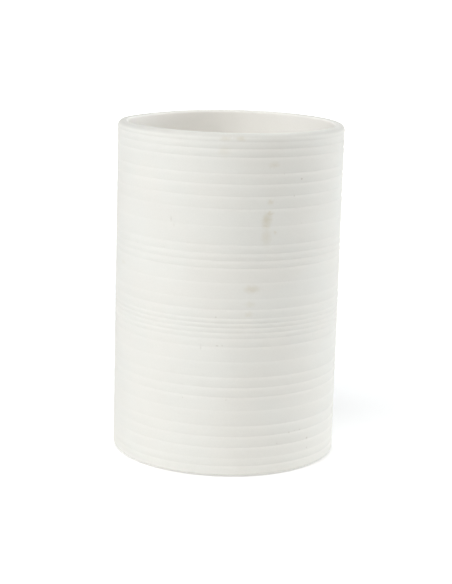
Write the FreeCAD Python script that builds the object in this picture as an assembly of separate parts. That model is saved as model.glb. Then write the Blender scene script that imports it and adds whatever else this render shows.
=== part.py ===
import FreeCAD, Part
import os
from math import asin, cos, pi, radians, sin

# Pen holder cup: a straight reeded porcelain beaker that stands on a self-adhesive rubber pad.
#
# Pieces, from the desk up:
#   anti_slip_pad   rubber disc in the base recess, standing a little proud of the foot ring
#   pad_adhesive    double-sided film that holds the pad to the porcelain
#   cup_body        wall, floor, foot ring and lip, cast and fired as one piece of porcelain
#
# Frame: millimetres, +Z up, origin at the centre of the face that the cup rests on.

# Driving dimensions of the porcelain body
OUTER_RADIUS = 37.5  # at the crests of the reeds
BODY_HEIGHT = 110.4
WALL = 3.5
FLOOR_THICKNESS = 3.8
FLOOR_FILLET = 4.0  # between the inner wall and the floor
FOOT_EDGE_RADIUS = 0.8  # rounding where the outer wall meets the foot ring
LIP_OUTER_RADIUS = 1.9
LIP_INNER_RADIUS = 1.0  # the lip is rounder outside than inside, and flat between
LIP_TUCK = radians(18)  # the lip's bead runs on this far under its widest point

# Base recess, rubber pad and adhesive film
RECESS_RADIUS = 31.5
RECESS_DEPTH = 1.2
RECESS_EDGE_RADIUS = 0.5
PAD_RADIUS = 30.0
PAD_THICKNESS = 1.5
PAD_EDGE_RADIUS = 0.3
FILM_THICKNESS = 0.2
FILM_INSET = 0.4  # the film is cut a little smaller than the pad

# Height of each horizontal reed on the outside, foot to lip: broad and narrow ones come in loose groups.
# The last reed ends under the lip's bead.
REED_HEIGHTS = (
    3.2, 2.6, 3.6, 3.7, 3.5, 5.1, 4.5, 3.1, 3.4, 5.0, 4.9, 2.8, 1.8, 1.6, 1.5, 1.6,
    2.9, 3.4, 5.2, 4.7, 2.4, 2.3, 2.7, 6.0, 5.5, 3.9, 3.8, 3.3, 5.1, 2.6,
)
CREST_BELOW_TOP = 1.2  # a broad reed is fullest this far below its upper groove
GROOVE_DEPTH = 0.13
FAINT_GROOVES = (2, 6, 10, 18, 19, 24)  # counted from the foot; cut only half as deep

# Derived levels and radii
INNER_RADIUS = OUTER_RADIUS - WALL
FOOT_Z = PAD_THICKNESS + FILM_THICKNESS - RECESS_DEPTH
TOP_Z = FOOT_Z + BODY_HEIGHT
LIP_OUTER_CENTRE = (OUTER_RADIUS - LIP_OUTER_RADIUS, TOP_Z - LIP_OUTER_RADIUS)
LIP_INNER_CENTRE = (INNER_RADIUS + LIP_INNER_RADIUS, TOP_Z - LIP_INNER_RADIUS)
RECESS_ROOF_Z = FOOT_Z + RECESS_DEPTH
FLOOR_Z = RECESS_ROOF_Z + FLOOR_THICKNESS


def point(radius, height):
    """A point of the outline, in the XZ half plane."""
    return FreeCAD.Vector(radius, 0, height)


def line(start, end):
    """A straight edge between two (radius, height) points."""
    return Part.LineSegment(point(*start), point(*end)).toShape()


def arc(centre, radius, start, end):
    """An arc about a (radius, height) centre, from one angle to another, in radians from outwards."""
    angles = (start, (start + end) / 2, end)
    ends = [point(centre[0] + radius * cos(a), centre[1] + radius * sin(a)) for a in angles]
    return Part.Arc(*ends).toShape()


def reed_flank(crest_z, end):
    """From a reed's crest, where the wall is upright, to a point at or under its edge."""
    depth = OUTER_RADIUS - end[0]
    if depth == 0:
        return line((OUTER_RADIUS, crest_z), end)
    reach = end[1] - crest_z
    radius = (reach**2 + depth**2) / (2 * depth)
    return arc((OUTER_RADIUS - radius, crest_z), radius, 0, asin(reach / radius))


def reed(bottom, top):
    """One reed between two grooves: a long lower flank and, past its crest, a short upper one."""
    crest_z = top[1] - min(CREST_BELOW_TOP, (top[1] - bottom[1]) / 2)
    return [reed_flank(crest_z, bottom), reed_flank(crest_z, top)]


def reeded_wall(lip_groove):
    """The outer wall's edges, from the foot ring's rounding up to the groove under the lip."""
    edges = []
    bottom = (OUTER_RADIUS, FOOT_Z + FOOT_EDGE_RADIUS)
    top_z = FOOT_Z
    for count, height in enumerate(REED_HEIGHTS, start=1):
        top_z += height
        depth = GROOVE_DEPTH / 2 if count in FAINT_GROOVES else GROOVE_DEPTH
        top = (OUTER_RADIUS - depth, top_z)
        edges += reed(bottom, top)
        bottom = top
    return edges + reed(bottom, lip_groove)


def revolve(edges):
    """A solid of revolution about Z from a closed outline in the XZ half plane."""
    face = Part.Face(Part.Wire(Part.__sortEdges__(edges)))
    return face.revolve(FreeCAD.Vector(0, 0, 0), FreeCAD.Vector(0, 0, 1), 360)


def make_cup_body():
    """Porcelain beaker: reeded outside, plain inside, rounded lip, shallow recess under the base."""
    lip_groove = (
        LIP_OUTER_CENTRE[0] + LIP_OUTER_RADIUS * cos(LIP_TUCK),
        LIP_OUTER_CENTRE[1] - LIP_OUTER_RADIUS * sin(LIP_TUCK),
    )
    fillet_r = INNER_RADIUS - FLOOR_FILLET
    fillet_z = FLOOR_Z + FLOOR_FILLET
    recess_edge_r = RECESS_RADIUS + RECESS_EDGE_RADIUS
    recess_edge_z = FOOT_Z + RECESS_EDGE_RADIUS
    foot_edge_r = OUTER_RADIUS - FOOT_EDGE_RADIUS
    foot_edge_z = FOOT_Z + FOOT_EDGE_RADIUS
    lip = [
        arc(LIP_OUTER_CENTRE, LIP_OUTER_RADIUS, -LIP_TUCK, pi / 2),
        line((LIP_OUTER_CENTRE[0], TOP_Z), (LIP_INNER_CENTRE[0], TOP_Z)),
        arc(LIP_INNER_CENTRE, LIP_INNER_RADIUS, pi / 2, pi),
    ]
    well = [
        line((INNER_RADIUS, LIP_INNER_CENTRE[1]), (INNER_RADIUS, fillet_z)),
        arc((fillet_r, fillet_z), FLOOR_FILLET, 0, -pi / 2),
        line((fillet_r, FLOOR_Z), (0, FLOOR_Z)),
    ]
    base = [
        line((0, FLOOR_Z), (0, RECESS_ROOF_Z)),
        line((0, RECESS_ROOF_Z), (RECESS_RADIUS, RECESS_ROOF_Z)),
        line((RECESS_RADIUS, RECESS_ROOF_Z), (RECESS_RADIUS, recess_edge_z)),
        arc((recess_edge_r, recess_edge_z), RECESS_EDGE_RADIUS, pi, 3 * pi / 2),
        line((recess_edge_r, FOOT_Z), (foot_edge_r, FOOT_Z)),
        arc((foot_edge_r, foot_edge_z), FOOT_EDGE_RADIUS, -pi / 2, 0),
    ]
    return revolve(reeded_wall(lip_groove) + lip + well + base)


def make_anti_slip_pad():
    """Rubber disc with a softly rounded lower edge, resting on the desk at Z = 0."""
    edge_r = PAD_RADIUS - PAD_EDGE_RADIUS
    return revolve([
        line((0, 0), (edge_r, 0)),
        arc((edge_r, PAD_EDGE_RADIUS), PAD_EDGE_RADIUS, -pi / 2, 0),
        line((PAD_RADIUS, PAD_EDGE_RADIUS), (PAD_RADIUS, PAD_THICKNESS)),
        line((PAD_RADIUS, PAD_THICKNESS), (0, PAD_THICKNESS)),
        line((0, PAD_THICKNESS), (0, 0)),
    ])


def make_pad_adhesive():
    """Thin film between the pad's top and the recess roof."""
    return Part.makeCylinder(PAD_RADIUS - FILM_INSET, FILM_THICKNESS, point(0, PAD_THICKNESS))


def main():
    os.makedirs("parts", exist_ok=True)
    pieces = {
        "cup_body": make_cup_body(),
        "anti_slip_pad": make_anti_slip_pad(),
        "pad_adhesive": make_pad_adhesive(),
    }
    for name, shape in pieces.items():
        state = "valid" if shape.isValid() else "INVALID"
        print(name, shape.ShapeType, state, round(shape.Volume / 1000, 2), "cm3")
        shape.exportStep("parts/" + name + ".step")


main()
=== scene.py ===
from math import cos, pi, radians, sin

import bpy
import numpy as np
from mathutils import Matrix, Vector


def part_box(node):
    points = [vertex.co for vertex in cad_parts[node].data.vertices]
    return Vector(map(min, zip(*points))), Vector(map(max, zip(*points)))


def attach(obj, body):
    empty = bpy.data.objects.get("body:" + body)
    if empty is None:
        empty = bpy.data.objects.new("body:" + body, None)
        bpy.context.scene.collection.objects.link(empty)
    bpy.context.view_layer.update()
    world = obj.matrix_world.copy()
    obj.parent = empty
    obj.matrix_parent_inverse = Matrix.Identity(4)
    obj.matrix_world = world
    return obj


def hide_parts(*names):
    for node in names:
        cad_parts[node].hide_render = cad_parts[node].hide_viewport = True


# A reeded porcelain pen cup on a pale sheet. Metres, +Z up, the cup's front towards -Y.

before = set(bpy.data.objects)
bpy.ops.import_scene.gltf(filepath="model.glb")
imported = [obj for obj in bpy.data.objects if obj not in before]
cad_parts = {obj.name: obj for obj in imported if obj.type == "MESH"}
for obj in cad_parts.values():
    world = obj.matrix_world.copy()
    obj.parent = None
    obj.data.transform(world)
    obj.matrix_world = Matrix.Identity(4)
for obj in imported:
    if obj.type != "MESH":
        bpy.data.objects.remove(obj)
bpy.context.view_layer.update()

MM = 0.001
CUP_LOW, CUP_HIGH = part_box("cup_body")
FILM_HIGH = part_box("pad_adhesive")[1]

# The porcelain body, as in the CAD model
RADIUS = CUP_HIGH[0]  # at the crests of the reeds
FOOT_Z = CUP_LOW[2]
TOP_Z = CUP_HIGH[2]
WALL = 3.5 * MM
INNER_RADIUS = RADIUS - WALL
LIP_OUTER_RADIUS = 1.9 * MM
LIP_INNER_RADIUS = 1.0 * MM  # the lip is rounder outside than inside, and flat between
LIP_TUCK = radians(18)  # the lip's bead runs on this far under its widest point
LIP_CENTRE_R = RADIUS - LIP_OUTER_RADIUS
LIP_CENTRE_Z = TOP_Z - LIP_OUTER_RADIUS
LIP_GROOVE_Z = LIP_CENTRE_Z - LIP_OUTER_RADIUS * sin(LIP_TUCK)
FLOOR_THICKNESS = 3.8 * MM
FLOOR_FILLET = 4.0 * MM
FOOT_EDGE = 0.8 * MM
RECESS_RADIUS = 31.5 * MM
RECESS_EDGE = 0.5 * MM
RECESS_ROOF_Z = FILM_HIGH[2]
FLOOR_Z = RECESS_ROOF_Z + FLOOR_THICKNESS

RECESS_CORNER = 0.4 * MM  # rounds the corner under the recess's roof, which is sharp in the CAD model

# Height of each reed, foot to lip, in millimetres: broad and narrow ones come in loose groups
REED_HEIGHTS = (
    3.2, 2.6, 3.6, 3.7, 3.5, 5.1, 4.5, 3.1, 3.4, 5.0, 4.9, 2.8, 1.8, 1.6, 1.5, 1.6,
    2.9, 3.4, 5.2, 4.7, 2.4, 2.3, 2.7, 6.0, 5.5, 3.9, 3.8, 3.3, 5.1, 2.6,
)
CREST_BELOW_TOP = 1.2 * MM  # a broad reed is fullest this far below its upper groove
GROOVE_DEPTH = 0.13 * MM
FAINT_GROOVES = (2, 6, 10, 18, 19, 24)  # counted from the foot; cut only half as deep
OFF_CENTRE = 0.55  # the reeds were cut off centre, so this share deeper on one side than on average
DEEP_SIDE = radians(45)
WANDER = 0.12 * MM  # how far the reeds stray up and down
UNEVEN = 0.28  # how much their depth varies, as a share of it
STEADY_END = 2 * MM  # they grow steady over this height next to the foot and the lip

# How the depth grows from a reed's crest, down its long lower flank and up its short upper one
FLANK_POWERS = (1.5, 2.0)

# How finely the lathe work is meshed: turns, distances between rows, and rows in each rounding
SEGMENTS = 360
TURN = np.arange(SEGMENTS) * 2 * pi / SEGMENTS  # the angle of each column, from the front to the right
ROOF_STEP = 3 * MM
FOOT_STEP = 1 * MM
WALL_STEP = 0.36 * MM
GROOVE_STEPS = (0.1 * MM, 0.25 * MM)  # closer rows on both sides of each groove
LIP_STEP = 0.2 * MM
WELL_STEP = 1.2 * MM
FLOOR_STEP = 1.5 * MM
RECESS_CORNER_ROWS = 4
RECESS_EDGE_ROWS = 6
FOOT_EDGE_ROWS = 8
LIP_OUTER_ROWS = 16
LIP_INNER_ROWS = 10
FLOOR_FILLET_ROWS = 12

# Slow waves are the mean of a few cosines, scaled back up to about 1. Each kind has its random seed,
# the most waves round the cup, and the shortest that one can be along the wall's height.
WAVES = 6
WAVE_GAIN = 1.6
WANDER_WAVES = (3, 3, 30 * MM)
UNEVEN_WAVES = (5, 4, 12 * MM)

# The rim sagged a little in the kiln, at the back left
SAG = 0.55 * MM
SAG_TURN = radians(-125)
SAG_WIDTH = radians(25)
SAG_REACH = 40 * MM  # how far down the wall it fades out

# Small faults of the turning, in millimetres:
# (degrees right of the front, height over the foot, radius, depth)
DENTS = (
    (-29.0, 82.6, 0.9, 0.10),
    (-27.5, 81.2, 0.7, 0.06),
    (-12.0, 42.5, 0.6, 0.05),
    (118.0, 64.0, 1.1, 0.08),
    (205.0, 31.0, 0.8, 0.07),
)


def arc_points(centre, radius, start, end, steps):
    """(radius, height) points along an arc, without its first one, so that stretches can be joined."""
    angles = np.linspace(start, end, steps + 1)[1:]
    return [(centre[0] + radius * cos(a), centre[1] + radius * sin(a)) for a in angles]


def run_points(start, end, step):
    """Evenly spaced (radius, height) points from start, left out, to end."""
    start, end = np.array(start), np.array(end)
    steps = max(1, round(float(np.linalg.norm(end - start)) / step))
    return [tuple(start + (end - start) * i / steps) for i in range(1, steps + 1)]


def base_outline():
    """From the middle of the recess's roof outwards to the foot of the outer wall."""
    corner = (RECESS_RADIUS - RECESS_CORNER, RECESS_ROOF_Z - RECESS_CORNER)
    edge = (RECESS_RADIUS + RECESS_EDGE, FOOT_Z + RECESS_EDGE)
    foot = (RADIUS - FOOT_EDGE, FOOT_Z + FOOT_EDGE)
    points = run_points((0, RECESS_ROOF_Z), (corner[0], RECESS_ROOF_Z), ROOF_STEP)
    points += arc_points(corner, RECESS_CORNER, pi / 2, 0, RECESS_CORNER_ROWS)
    points += arc_points(edge, RECESS_EDGE, pi, 3 * pi / 2, RECESS_EDGE_ROWS)
    points += run_points((edge[0], FOOT_Z), (foot[0], FOOT_Z), FOOT_STEP)
    return points + arc_points(foot, FOOT_EDGE, -pi / 2, 0, FOOT_EDGE_ROWS)


def lip_outline():
    """Over the lip, from the groove under it to the top of the well's wall."""
    outer = (LIP_CENTRE_R, LIP_CENTRE_Z)
    inner = (INNER_RADIUS + LIP_INNER_RADIUS, TOP_Z - LIP_INNER_RADIUS)
    points = arc_points(outer, LIP_OUTER_RADIUS, -LIP_TUCK, pi / 2, LIP_OUTER_ROWS)
    points += run_points((outer[0], TOP_Z), (inner[0], TOP_Z), LIP_STEP)
    return points + arc_points(inner, LIP_INNER_RADIUS, pi / 2, pi, LIP_INNER_ROWS)


def well_outline():
    """Down the well's wall and in across its floor, to just short of the middle."""
    fillet = (INNER_RADIUS - FLOOR_FILLET, FLOOR_Z + FLOOR_FILLET)
    points = run_points((INNER_RADIUS, TOP_Z - LIP_INNER_RADIUS), (INNER_RADIUS, fillet[1]), WELL_STEP)
    points += arc_points(fillet, FLOOR_FILLET, 0, -pi / 2, FLOOR_FILLET_ROWS)
    return points + run_points((fillet[0], FLOOR_Z), (0, FLOOR_Z), FLOOR_STEP)[:-1]


def grooves():
    """Heights of the grooves, from the foot up to the one under the lip, and their depths."""
    tops = np.cumsum(REED_HEIGHTS) * MM
    depths = np.full(len(tops), GROOVE_DEPTH)
    depths[[count - 1 for count in FAINT_GROOVES]] /= 2
    heights = np.concatenate([[0], tops, [LIP_GROOVE_Z - FOOT_Z]])
    return heights + FOOT_Z, np.concatenate([[0], depths, [LIP_OUTER_RADIUS * (1 - cos(LIP_TUCK))]])


def wall_rows():
    """Heights of the outer wall's rows: even ones on the reeds and closer ones beside each groove."""
    heights = grooves()[0]
    rows = []
    for low, high in zip(heights[:-1], heights[1:]):
        start, end = low + GROOVE_STEPS[-1], high - GROOVE_STEPS[-1]
        steps = max(2, round((end - start) / WALL_STEP))
        rows += [low + step for step in GROOVE_STEPS[:-1]] + list(np.linspace(start, end, steps + 1))
        rows += [high - step for step in GROOVE_STEPS[:-1]] + [high]
    return np.array([row for row in rows if row > FOOT_Z + FOOT_EDGE])


def reed_depth(z):
    """How far the outer wall lies inside the reeds' crests at each height in the array z."""
    heights, depths = grooves()
    above = np.searchsorted(heights, z).clip(1, len(heights) - 1)
    low, high = heights[above - 1], heights[above]
    crest = high - np.minimum(CREST_BELOW_TOP, (high - low) / 2)
    under = z < crest
    reach = np.where(under, crest - low, high - crest)
    depth = np.where(under, depths[above - 1], depths[above])
    return depth * np.abs((z - crest) / reach) ** np.where(under, *FLANK_POWERS)


def slow_waves(turn, z, seed, around, along):
    """Smooth unevenness from about -1 to 1 that closes round the cup: a few waves of random phase."""
    rng = np.random.default_rng(seed)
    total = np.zeros(np.broadcast(turn, z).shape)
    for _ in range(WAVES):
        turns = rng.integers(1, around + 1)
        rate = rng.uniform(-1, 1) * 2 * pi / along
        total += np.cos(turns * turn + rate * z + rng.uniform(0, 2 * pi))
    return total / WAVES * WAVE_GAIN


def dents(turn, z):
    """Depth of the small chips and dents, in metres, over the outer wall."""
    total = np.zeros(np.broadcast(turn, z).shape)
    for degrees, height, radius, depth in DENTS:
        gap = (turn - radians(degrees) + pi) % (2 * pi) - pi
        along = gap * RADIUS / (radius * MM)
        up = (z - FOOT_Z - height * MM) / (radius * MM)
        total += depth * MM * np.exp(-(along**2) - up**2)
    return total


def reeded_wall(turn):
    """Radii and heights of the outer wall: one row per height, one column per turn angle."""
    z = wall_rows()[:, None]
    over_foot = np.clip((z - FOOT_Z - FOOT_EDGE) / STEADY_END, 0, 1)
    ends = over_foot * np.clip((z.max() - z) / STEADY_END, 0, 1)
    wander = WANDER * slow_waves(turn, z, *WANDER_WAVES) * ends
    uneven = 1 + UNEVEN * slow_waves(turn, z, *UNEVEN_WAVES) * ends
    uneven += OFF_CENTRE * np.cos(turn - DEEP_SIDE) * ends
    return RADIUS - reed_depth(z) * uneven - dents(turn, z), z + wander


def sag(turn, heights):
    """How far the fired cup has sunk at each point, most at the back left of its rim."""
    gap = (turn - SAG_TURN + pi) % (2 * pi) - pi
    share = np.clip(1 - (TOP_Z - heights) / SAG_REACH, 0, 1)
    return SAG * np.exp(-0.5 * (gap / SAG_WIDTH) ** 2) * share**2


def lathe_faces(rings):
    """Quads between neighbouring rings of points, and fans that close the first and last on the axis."""
    sides = [(here, (here + 1) % SEGMENTS) for here in range(SEGMENTS)]
    last = (rings - 1) * SEGMENTS
    bottom, top = rings * SEGMENTS, rings * SEGMENTS + 1
    faces = [
        (low + here, low + after, low + SEGMENTS + after, low + SEGMENTS + here)
        for low in range(0, last, SEGMENTS)
        for here, after in sides
    ]
    faces += [(bottom, after, here) for here, after in sides]
    return faces + [(top, last + here, last + after) for here, after in sides]


def lathe(name, radii, heights, bottom_z, top_z):
    """A closed mesh from a row of radii and heights for each ring, with both ends closed on the axis."""
    x, y = radii * np.sin(TURN), -radii * np.cos(TURN)
    points = np.stack([x, y, heights], axis=-1).reshape(-1, 3)
    points = np.concatenate([points, [[0, 0, bottom_z], [0, 0, top_z]]])
    mesh = bpy.data.meshes.new(name)
    mesh.from_pydata(points.tolist(), [], lathe_faces(len(radii)))
    mesh.validate()
    mesh.shade_smooth()
    piece = bpy.data.objects.new(name, mesh)
    bpy.context.scene.collection.objects.link(piece)
    return piece


def plain_rings(outline):
    """Radii and heights of round, level rings, from (radius, height) points."""
    outline = np.array(outline)
    return outline[:, :1].repeat(SEGMENTS, axis=1), outline[:, 1:].repeat(SEGMENTS, axis=1)


def make_cup():
    """The porcelain body: base, reeded wall, lip and well in one closed skin."""
    parts = [
        plain_rings(base_outline()),
        reeded_wall(TURN),
        plain_rings(lip_outline()),
        plain_rings(well_outline()),
    ]
    radii = np.concatenate([part[0] for part in parts])
    heights = np.concatenate([part[1] for part in parts])
    return lathe("porcelain_cup", radii, heights - sag(TURN, heights), RECESS_ROOF_Z, FLOOR_Z)


class Finish:
    """A Principled material and calls that add nodes to it. Lengths in its nodes are millimetres."""

    def __init__(self, name):
        self.material = bpy.data.materials.new(name)
        self.material.use_nodes = True
        self.tree = self.material.node_tree
        self.shader = self.tree.nodes["Principled BSDF"]
        self.place = self.vector("MULTIPLY", self.add("TexCoord").outputs["Object"], (1 / MM,) * 3)

    def add(self, kind, **settings):
        """A new node of the tree."""
        node = self.tree.nodes.new("ShaderNode" + kind)
        for key, value in settings.items():
            setattr(node, key, value)
        return node

    def feed(self, socket, value):
        """Links value to a socket if it comes from a node, and sets it there if it is plain."""
        if isinstance(value, bpy.types.NodeSocket):
            self.tree.links.new(value, socket)
        else:
            socket.default_value = value

    def math(self, operation, *values):
        """The result of one operation on plain values or other nodes' outputs."""
        node = self.add("Math", operation=operation)
        for socket, value in zip(node.inputs, values):
            self.feed(socket, value)
        return node.outputs[0]

    def product(self, first, *others):
        """All the values multiplied together."""
        for other in others:
            first = self.math("MULTIPLY", first, other)
        return first

    def less(self, share):
        """What is left of 1 without a share of it."""
        return self.math("SUBTRACT", 1.0, share)

    def vector(self, operation, *values):
        """The same for vectors. Only a length comes out as a plain value."""
        node = self.add("VectorMath", operation=operation)
        for socket, value in zip(node.inputs, values):
            self.feed(socket, value)
        return node.outputs["Value" if operation == "LENGTH" else "Vector"]

    def split(self, vector):
        """The x, y and z of a vector."""
        node = self.add("SeparateXYZ")
        self.feed(node.inputs[0], vector)
        return node.outputs

    def ramp(self, value, start, end, low=0.0, high=1.0):
        """Goes smoothly from low, where value is start, to high, where it is end."""
        node = self.add("MapRange", interpolation_type="SMOOTHSTEP")
        for socket, setting in zip(node.inputs, (value, start, end, low, high)):
            self.feed(socket, setting)
        return node.outputs[0]

    def noise(self, size, detail=2.0, stretch=(1.0, 1.0, 1.0), output="Fac"):
        """Noise round 0.5 whose features are about size millimetres, and drawn out by stretch."""
        node = self.add("TexNoise")
        self.feed(node.inputs["Vector"], self.vector("DIVIDE", self.place, stretch))
        node.inputs["Scale"].default_value = 1 / size
        node.inputs["Detail"].default_value = detail
        return node.outputs[output]

    def patches(self, noise):
        """Soft patches: 0 where noise is well under 0.5, and 1 where it is well over."""
        return self.ramp(noise, 0.35, 0.65)

    def between(self, noise, low, high):
        """Spreads noise round 0.5 from low to high."""
        return self.ramp(noise, 0.3, 0.7, low, high)

    def cells(self, size):
        """How far each point is from the middle of its cell, in cells of about size millimetres."""
        node = self.add("TexVoronoi")
        self.feed(node.inputs["Vector"], self.place)
        node.inputs["Scale"].default_value = 1 / size
        return node.outputs["Distance"]

    def mix(self, share, low, high):
        """From colour low, where share is 0, to colour high, where it is 1."""
        node = self.add("Mix", data_type="RGBA")
        colours = [socket for socket in node.inputs if socket.type == "RGBA"]
        self.feed(node.inputs[0], share)
        for socket, colour in zip(colours, (low, high)):
            self.feed(socket, (*colour, 1) if isinstance(colour, tuple) else colour)
        return next(socket for socket in node.outputs if socket.type == "RGBA")

    def swing(self, noise, amount):
        """Turns noise round 0.5 into a factor round 1 that swings by about amount."""
        return self.math("MULTIPLY_ADD", noise, amount * 4, 1 - amount * 2)

    def shade(self, colour, factor):
        """A colour made lighter or darker by a factor."""
        scale = self.add("CombineXYZ")
        for socket in scale.inputs:
            self.feed(socket, factor)
        return self.vector("MULTIPLY", colour, scale.outputs[0])

    def paint(self, colour):
        """Gives the surface its colour."""
        self.feed(self.shader.inputs["Base Color"], colour)

    def gloss(self, roughness, specular=0.5):
        """How rough the surface is, and how strongly it mirrors."""
        self.feed(self.shader.inputs["Roughness"], roughness)
        self.feed(self.shader.inputs["Specular IOR Level"], specular)

    def relief(self, height):
        """Bump from a height in millimetres."""
        bump = self.add("Bump")
        bump.inputs["Distance"].default_value = MM
        self.feed(bump.inputs["Height"], height)
        self.feed(self.shader.inputs["Normal"], bump.outputs[0])


# The cup's measures in millimetres, as the materials use them
OUTER_MM = RADIUS / MM
INNER_MM = INNER_RADIUS / MM
TOP_MM = TOP_Z / MM
FOOT_MM = FOOT_Z / MM
FLOOR_MM = FLOOR_Z / MM

# Marks on the wall: (degrees right of the front, height over the foot, half width, half height, strength)
STAINS = (
    (19.5, 85.5, 2.0, 1.1, 0.42),
    (18.6, 83.6, 2.6, 3.4, 0.42),
    (18.2, 81.6, 2.2, 1.6, 0.36),
    (18.5, 78.3, 2.4, 4.5, 0.22),
    (20.0, 89.2, 1.6, 1.4, 0.28),
    (23.0, 79.6, 1.2, 0.9, 0.30),
    (21.5, 100.8, 2.6, 1.5, 0.22),
    (12.0, 61.5, 3.6, 1.9, 0.30),
    (11.5, 56.7, 3.0, 1.3, 0.16),
    (11.0, 53.4, 2.2, 1.2, 0.18),
    (-2.5, 108.9, 2.4, 1.3, 0.22),
    (4.5, 109.0, 2.6, 1.2, 0.26),
    (-3.0, 105.0, 3.0, 2.6, 0.14),
    (-65.0, 65.0, 2.4, 1.1, 0.14),
    (141.0, 72.0, 2.2, 1.9, 0.34),
    (137.0, 66.0, 1.8, 3.6, 0.22),
    (233.0, 40.0, 4.2, 1.5, 0.26),
    (188.0, 96.0, 2.6, 1.3, 0.24),
)
STAIN_COLOUR = (0.66, 0.59, 0.42)
PITS = (
    (-29.0, 82.6, 0.55, 1.2, 0.25),
    (-27.3, 80.8, 0.45, 0.9, 0.15),
    (37.0, 96.0, 0.55, 0.45, 0.65),
    (33.0, 90.8, 0.45, 0.45, 0.50),
    (-5.0, 52.3, 0.50, 0.40, 0.55),
    (-4.0, 43.1, 0.70, 0.40, 0.40),
    (-1.5, 43.2, 0.40, 0.35, 0.35),
    (-12.0, 42.4, 0.35, 1.30, 0.30),
    (35.0, 13.1, 0.60, 0.45, 0.50),
    (38.5, 13.4, 0.40, 0.40, 0.40),
    (42.0, 13.3, 0.55, 0.45, 0.45),
    (47.5, 9.8, 0.70, 0.60, 0.55),
    (47.5, 6.5, 0.50, 0.45, 0.40),
    (28.0, 10.0, 0.50, 0.45, 0.30),
    (118.0, 64.0, 0.70, 0.60, 0.50),
    (205.0, 31.0, 0.60, 0.60, 0.50),
)
PIT_COLOUR = (0.52, 0.48, 0.41)

OUTER_COOL = (0.863, 0.857, 0.814)
OUTER_WARM = (0.867, 0.853, 0.806)
# The well's porcelain, painted lighter and warmer than outside: painted light in the well
INNER_LIT_COLOUR = (0.990, 0.970, 0.928)
BARE_FOOT = (0.86, 0.84, 0.79)

# The ramps below are (start, end) or (start, end, low, high), as Finish.ramp takes them
WELL_EDGE = (INNER_MM + 1.0, INNER_MM + 0.2)
OVER_FLOOR = (FLOOR_MM - 1.0, FLOOR_MM - 0.5)
FOOT_EDGE_RUB = (FOOT_MM + 1.2, FOOT_MM + 0.1)

# Painted light and shade on the reeds: flanks that face up are painted lighter and flanks that face down
# darker, as if lit from above, up to this tilt
SLOPE_SHADE_TILT = 0.3
SLOPE_SHADE_BY_HEIGHT = (110, 0, 0.02, 0.10)  # it shows least near the lip and most near the foot
SLOPE_SHADE_UNDER_LIP = (87, 93, 0.0, 0.03)  # and again a little more on the upper reeds
SLOPE_SHADE_ACROSS = (-30, 25, 0.0, 1.8)  # none at the left, most at the right

# Painted shade on the lip's crown: darker where it faces up, most at its left and right
CROWN_SHADE_START = (INNER_MM + 0.15, INNER_MM + 0.5)
CROWN_SHADE_FACING = (0.15, 0.85)
CROWN_SHADE_HEIGHT = (TOP_MM - 2.6, TOP_MM - 1.6)
CROWN_SHADE_ACROSS = (12, 36, 0.05, 0.14)

# Painted shade in the grooves: how much darker they are, by radius
GROOVE_SHADE = (OUTER_MM - 0.05, OUTER_MM - 0.32, 0.0, 0.03)

# Dark specks, and pinholes as deep as the ramp's low end, in the middles of cells this far apart.
# Their ramps go by the distance from there, as a share of the spacing.
SPECK_SPACING = 7.0
SPECK = (0.030, 0.015, 0.0, 0.35)
PINHOLE_SPACING = 2.4
PINHOLE = (0.02, 0.07, -0.015, 0.0)

# The porcelain's noises: (size in millimetres, detail, how far it is drawn out along x, y and z)
CLOUD = (16, 3)
FOOT_WEAR = (2.5, 4)
SMEAR = (7, 4, (3, 3, 1))
MOTTLE = (0.5, 3)
RAGGED = (1.3, 3)
TURNING_LINES = (0.9, 3, (16, 16, 1))
GRAIN = (0.28, 3)
WELL_LINES = (1.6, 2, (10, 10, 1))
SHEEN = (5, 3)

# How strong they are: swings of brightness and roughness, and lengths in millimetres
SMEAR_SWING = 0.010
MOTTLE_SWING = 0.012
RAGGED_REACH = 1.8  # how far the stains' edges are pushed about
LINE_HEIGHT = 0.020
GRAIN_HEIGHT = 0.010
WELL_LINE_HEIGHT = 0.010
SHEEN_SWING = 0.14

# The roughness that the sheen adds to, and how strongly the surface mirrors
OUTER_ROUGHNESS = 0.66
INNER_ROUGHNESS = 0.44
PORCELAIN_SPECULAR = 0.2


def wall_point(degrees, height):
    """A point of the outer wall, from degrees right of the front and millimetres over the foot."""
    turn = radians(degrees)
    return OUTER_MM * sin(turn), -OUTER_MM * cos(turn), FOOT_MM + height


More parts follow.
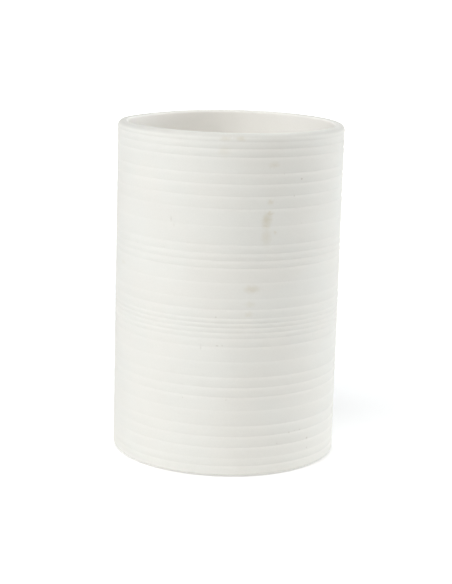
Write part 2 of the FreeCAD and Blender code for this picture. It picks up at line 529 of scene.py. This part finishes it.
class Porcelain(Finish):
    """Matt bisque outside, smoother inside and painted lighter and warmer there as painted light, with
    kiln marks, specks, turning lines and painted shade on the reeds, lip and grooves.
    """

    def __init__(self):
        super().__init__("porcelain")
        self.x, y, self.z = self.split(self.place)
        flat = self.add("CombineXYZ")
        self.feed(flat.inputs[0], self.x)
        self.feed(flat.inputs[1], y)
        self.radius = self.vector("LENGTH", flat.outputs[0])
        self.facing = self.split(self.add("NewGeometry").outputs["Normal"])[2]
        self.inside = self.product(self.ramp(self.radius, *WELL_EDGE), self.ramp(self.z, *OVER_FLOOR))
        self.outside = self.less(self.inside)
        self.paint(self.marked(self.painted_shading(self.fired())))
        self.surface()

    def fired(self):
        """The clay's colour, with the well painted lighter and warmer as painted light, mottled by the
        kiln, and bare where the foot was wiped.
        """
        cloud = self.patches(self.noise(*CLOUD))
        # The well is painted lighter and warmer than outside: painted light
        colour = self.mix(self.inside, self.mix(cloud, OUTER_COOL, OUTER_WARM), INNER_LIT_COLOUR)
        foot = self.product(self.ramp(self.z, *FOOT_EDGE_RUB), self.noise(*FOOT_WEAR))
        colour = self.mix(foot, colour, BARE_FOOT)
        colour = self.shade(colour, self.swing(self.noise(*SMEAR), SMEAR_SWING))
        return self.shade(colour, self.swing(self.noise(*MOTTLE), MOTTLE_SWING))

    def painted_shading(self, colour):
        """Painted lighter on up-facing flanks and darker on down-facing ones, with painted shade on the
        lip's crown and in the grooves.
        """
        # Painted light and shade: up-facing flanks lighter, down-facing flanks darker
        tilt = self.math("MAXIMUM", self.math("MINIMUM", self.facing, SLOPE_SHADE_TILT), -SLOPE_SHADE_TILT)
        slope_shade = self.math("ADD", self.ramp(self.z, *SLOPE_SHADE_BY_HEIGHT), self.ramp(self.z, *SLOPE_SHADE_UNDER_LIP))
        slope_shade = self.product(slope_shade, self.ramp(self.x, *SLOPE_SHADE_ACROSS), tilt, self.outside)
        colour = self.shade(colour, self.math("ADD", slope_shade, 1.0))
        # Painted shade on the up-facing crown of the lip
        crown_shade = self.product(
            self.ramp(self.radius, *CROWN_SHADE_START),
            self.ramp(self.facing, *CROWN_SHADE_FACING),
            self.ramp(self.z, *CROWN_SHADE_HEIGHT),
            self.ramp(self.math("ABSOLUTE", self.x), *CROWN_SHADE_ACROSS),
        )
        colour = self.shade(colour, self.less(crown_shade))
        # Painted shade: darker the deeper into a groove
        groove_shade = self.product(self.ramp(self.radius, *GROOVE_SHADE), self.outside)
        return self.shade(colour, self.less(groove_shade))

    def spots(self, marks, place):
        """Where the marks are, from 0 to each one's strength. A ragged place gives them uneven edges."""
        total = 0.0
        for degrees, height, half_width, half_height, strength in marks:
            gap = self.vector("SUBTRACT", place, wall_point(degrees, height))
            gap = self.vector("DIVIDE", gap, (half_width, half_width, half_height))
            spot = self.ramp(self.vector("LENGTH", gap), 1.0, 0.0, 0.0, strength)
            total = self.math("MAXIMUM", total, spot)
        return total

    def marked(self, colour):
        """With its stains, pits and specks."""
        push = self.vector("SUBTRACT", self.noise(*RAGGED, output="Color"), (0.5, 0.5, 0.5))
        ragged = self.vector("MULTIPLY_ADD", push, (RAGGED_REACH,) * 3, self.place)
        colour = self.mix(self.spots(STAINS, ragged), colour, STAIN_COLOUR)
        colour = self.mix(self.spots(PITS, self.place), colour, PIT_COLOUR)
        return self.mix(self.ramp(self.cells(SPECK_SPACING), *SPECK), colour, PIT_COLOUR)

    def surface(self):
        """Turning lines, grain and pinholes outside, fainter lines inside, and an uneven gloss."""
        lines = self.product(self.noise(*TURNING_LINES), LINE_HEIGHT)
        grain = self.product(self.noise(*GRAIN), GRAIN_HEIGHT)
        pinholes = self.ramp(self.cells(PINHOLE_SPACING), *PINHOLE)
        rough = self.math("ADD", lines, self.math("ADD", grain, pinholes))
        smooth = self.product(self.noise(*WELL_LINES), WELL_LINE_HEIGHT)
        self.relief(self.math("ADD", self.product(rough, self.outside), self.product(smooth, self.inside)))
        sheen = self.product(self.noise(*SHEEN), SHEEN_SWING)
        base = self.ramp(self.inside, 0, 1, OUTER_ROUGHNESS, INNER_ROUGHNESS)
        self.gloss(self.math("ADD", sheen, base), PORCELAIN_SPECULAR)


# The pad's rubber, with noises and ramps written as the porcelain's are
PAD_DARK = (0.52, 0.51, 0.48)
PAD_LIGHT = (0.58, 0.57, 0.54)
PAD_CLOUD = (9, 3)
PAD_MOTTLE = (0.4, 3)
PAD_MOTTLE_SWING = 0.05
DUST_COLOUR = (0.74, 0.72, 0.67)
DUST_SHARE = 0.5
DUST_NOISE = (6, 4)
DUST_PATCHES = (0.45, 0.7)
DUST_IN_STIPPLE = (0.35, 0.75)
STIPPLE_SPACING = 0.9
STIPPLE_HEIGHT = -0.09
PAD_GRAIN = (0.3, 3)
PAD_GRAIN_HEIGHT = 0.02
PAD_SHEEN = (3, 3)
PAD_ROUGHNESS = (0.72, 0.86)
PAD_SPECULAR = 0.3


def pad_rubber():
    """Grey-beige rubber with a fine moulded stipple and a little dust in it."""
    finish = Finish("pad_rubber")
    stipple = finish.cells(STIPPLE_SPACING)
    colour = finish.mix(finish.patches(finish.noise(*PAD_CLOUD)), PAD_DARK, PAD_LIGHT)
    colour = finish.shade(colour, finish.swing(finish.noise(*PAD_MOTTLE), PAD_MOTTLE_SWING))
    dusty = finish.ramp(finish.noise(*DUST_NOISE), *DUST_PATCHES)
    dust = finish.product(finish.ramp(stipple, *DUST_IN_STIPPLE), dusty, DUST_SHARE)
    finish.paint(finish.mix(dust, colour, DUST_COLOUR))
    grain = finish.product(finish.noise(*PAD_GRAIN), PAD_GRAIN_HEIGHT)
    finish.relief(finish.math("ADD", finish.product(stipple, STIPPLE_HEIGHT), grain))
    finish.gloss(finish.between(finish.noise(*PAD_SHEEN), *PAD_ROUGHNESS), PAD_SPECULAR)
    return finish.material


# The adhesive film, in the same way
FILM_DARK = (0.78, 0.77, 0.72)
FILM_LIGHT = (0.83, 0.82, 0.77)
FILM_FLOW = (1.8, 3, (8, 1, 1))
FILM_FLOW_HEIGHT = 0.02
FILM_SHEEN_SIZE = 4
FILM_ROUGHNESS = (0.32, 0.45)


def adhesive_film():
    """Milky double-sided film, with faint flow lines in its glue."""
    finish = Finish("adhesive_film")
    flow = finish.noise(*FILM_FLOW)
    finish.paint(finish.mix(finish.patches(flow), FILM_DARK, FILM_LIGHT))
    finish.relief(finish.product(flow, FILM_FLOW_HEIGHT))
    finish.gloss(finish.between(finish.noise(FILM_SHEEN_SIZE), *FILM_ROUGHNESS))
    return finish.material


MIDDLE = Vector((0, 0, (FOOT_Z + TOP_Z) / 2))

# The camera orbits the middle of the porcelain and looks down a little; it was held slightly turned
CAMERA_DISTANCE = 14.51 * RADIUS
CAMERA_ELEVATION = radians(12.031)
CAMERA_TILT = radians(-0.283)
CAMERA_PAN = radians(0.027)
CAMERA_ROLL = radians(1.624)
CAMERA_LENS = 99.4
SENSOR = 36.0
CLIP_START = 0.01


def add_camera():
    """The photographer's view of the cup."""
    data = bpy.data.cameras.new("camera")
    data.lens = CAMERA_LENS
    data.sensor_width = SENSOR
    data.clip_start = CLIP_START
    camera = bpy.data.objects.new("camera", data)
    out = Vector((0, -cos(CAMERA_ELEVATION), sin(CAMERA_ELEVATION)))
    camera.location = MIDDLE + out * CAMERA_DISTANCE
    look = (-out).to_track_quat("-Z", "Y").to_matrix()
    swing = Matrix.Rotation(CAMERA_PAN, 3, "Y") @ Matrix.Rotation(CAMERA_TILT, 3, "X")
    roll = Matrix.Rotation(CAMERA_ROLL, 3, "Z")
    camera.rotation_euler = (look @ swing @ roll).to_euler()
    bpy.context.scene.collection.objects.link(camera)
    bpy.context.scene.camera = camera


# Colours of the lights
COOL = (0.968, 1.0, 1.032)
WARM = (1.004, 1.0, 0.978)

# Soft boxes round the table: (name, degrees right of front, degrees up, watts, colour), all of one size
SOFT_BOXES = (
    ("side_left", -80, 20, 1.25, COOL),
    ("key_left", -60, 35, 2.35, COOL),
    ("high", -15, 60, 5.5, WARM),
    ("side_right", 110, 20, 5.4, COOL),
    ("back", 180, 35, 3.2, COOL),
)
SOFT_BOX_SIZE = 0.6
SOFT_BOX_DISTANCE = 1.0


def add_lights():
    """One square area light for each soft box, turned towards the cup's middle."""
    for name, degrees, elevation, watts, colour in SOFT_BOXES:
        turn, up = radians(degrees), radians(elevation)
        out = Vector((cos(up) * sin(turn), -cos(up) * cos(turn), sin(up)))
        data = bpy.data.lights.new(name, "AREA")
        data.size = SOFT_BOX_SIZE
        data.energy = watts
        data.color = colour
        light = bpy.data.objects.new(name, data)
        light.location = MIDDLE + out * SOFT_BOX_DISTANCE
        light.rotation_euler = out.to_track_quat("Z", "Y").to_euler()
        bpy.context.scene.collection.objects.link(light)


# The light from all round
WORLD_COLOUR = (1.0, 0.97, 0.91, 1)
WORLD_FADE = (0.0, 0.35, 0.24, 0.06)  # two heights on the sky's unit sphere, and its strengths there


def add_world():
    """Dim overhead, and paler near and under the horizon."""
    world = bpy.data.worlds.new("studio")
    world.use_nodes = True
    tree = world.node_tree
    split = tree.nodes.new("ShaderNodeSeparateXYZ")
    tree.links.new(tree.nodes.new("ShaderNodeTexCoord").outputs["Generated"], split.inputs[0])
    fade = tree.nodes.new("ShaderNodeMapRange")
    fade.interpolation_type = "SMOOTHSTEP"
    for socket, setting in zip(fade.inputs[1:], WORLD_FADE):
        socket.default_value = setting
    tree.links.new(split.outputs[2], fade.inputs[0])
    background = tree.nodes["Background"]
    background.inputs["Color"].default_value = WORLD_COLOUR
    tree.links.new(fade.outputs[0], background.inputs["Strength"])
    bpy.context.scene.world = world


# The sheet, in millimetres: half its side, then the ramps by which it turns white towards the cup and
# behind it, and by which it glows far behind and far off all round
SHEET_HALF = 6000
SHEET_WHITE = (0.85, 0.85, 0.85)
SHEET_GREY = (0.40, 0.40, 0.40)
SHEET_ROUGHNESS = 0.95
NEAR_CUP = (500, 200)
BEHIND_CUP = (-100, 350)
SHEET_GLOW = 0.29
FAR_GLOW = 0.8
BACK_GLOW = (150, 700, 0.0, FAR_GLOW)
ROUND_GLOW = (700, 1800, 0.0, FAR_GLOW)


def pale_sheet():
    """A sheet, white near and behind the cup and grey further off. Out of the lights' reach it glows."""
    finish = Finish("pale_sheet")
    away = finish.vector("LENGTH", finish.place)
    behind = finish.ramp(finish.split(finish.place)[1], *BEHIND_CUP)
    white = finish.math("MAXIMUM", finish.ramp(away, *NEAR_CUP), behind)
    finish.paint(finish.mix(white, SHEET_GREY, SHEET_WHITE))
    close_glow = finish.product(white, SHEET_GLOW)
    back_glow = finish.product(behind, finish.ramp(away, *BACK_GLOW))
    far_glow = finish.math("MAXIMUM", back_glow, finish.ramp(away, *ROUND_GLOW))
    finish.feed(finish.shader.inputs["Emission Strength"], finish.math("ADD", close_glow, far_glow))
    finish.shader.inputs["Emission Color"].default_value = (1, 1, 1, 1)
    finish.gloss(SHEET_ROUGHNESS, specular=0.0)
    return finish.material


def add_floor():
    """A pale sheet that the cup stands on, wide enough to fill every view."""
    half = SHEET_HALF * MM
    mesh = bpy.data.meshes.new("floor")
    corners = [(-half, -half, 0), (half, -half, 0), (half, half, 0), (-half, half, 0)]
    mesh.from_pydata(corners, [], [(0, 1, 2, 3)])
    floor = bpy.data.objects.new("floor", mesh)
    bpy.context.scene.collection.objects.link(floor)
    floor.data.materials.append(pale_sheet())


def dress(piece, material):
    """Gives a piece one material in place of what it has."""
    piece.data.materials.clear()
    piece.data.materials.append(material)


cup = make_cup()
dress(cup, Porcelain().material)
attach(cup, "root")
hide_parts("cup_body")
dress(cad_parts["anti_slip_pad"], pad_rubber())
dress(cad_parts["pad_adhesive"], adhesive_film())

add_camera()
add_lights()
add_world()
add_floor()
bpy.context.scene.view_settings.view_transform = "Standard"
